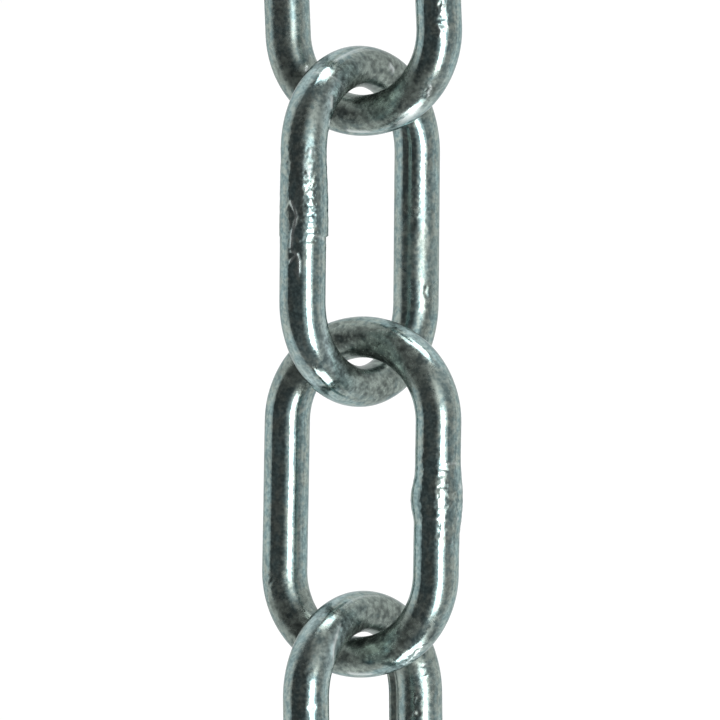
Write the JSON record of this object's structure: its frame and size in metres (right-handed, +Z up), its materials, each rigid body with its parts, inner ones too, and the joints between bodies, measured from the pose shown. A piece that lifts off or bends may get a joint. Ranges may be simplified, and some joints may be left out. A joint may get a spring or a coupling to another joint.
{
  "type": "welded steel chain",
  "caption": "Short length of welded chain: oval links of round zinc-plated wire, hooked crown in crown so that each swings on the next.",
  "frame": {"origin": "middle of the chain's footprint, on the surface that it lies on", "axes": "+Y along the chain towards link_1, +Z up, +X to the side"},
  "size_m": [0.0204, 0.1284, 0.0199],
  "materials": {
    "zinc_steel": "bright zinc plating over drawn wire, glossy, with fine grain and rough weld marks"
  },
  "bodies": {
    "link_1": {"link_1": "zinc_steel"},
    "link_2": {"link_2": "zinc_steel"},
    "link_3": {"link_3": "zinc_steel"},
    "link_4": {"link_4": "zinc_steel"}
  },
  "joints": [
    {"name": "link_2_swing", "type": "hinge", "parent": "link_1", "child": "link_2", "pos_m": [0.0007, 0.02704, 0.00978], "axis": [0.7065, 0.0284, 0.7071], "range_deg": [-120, 120]},
    {"name": "link_3_swing", "type": "hinge", "parent": "link_2", "child": "link_3", "pos_m": [-0.00015, -0.00252, 0.00978], "axis": [-0.7071, 0.0062, 0.7071], "range_deg": [-120, 120]},
    {"name": "link_4_swing", "type": "hinge", "parent": "link_3", "child": "link_4", "pos_m": [-0.0002, -0.03202, 0.00978], "axis": [0.707, -0.0123, 0.7071], "range_deg": [-120, 120]}
  ]
}
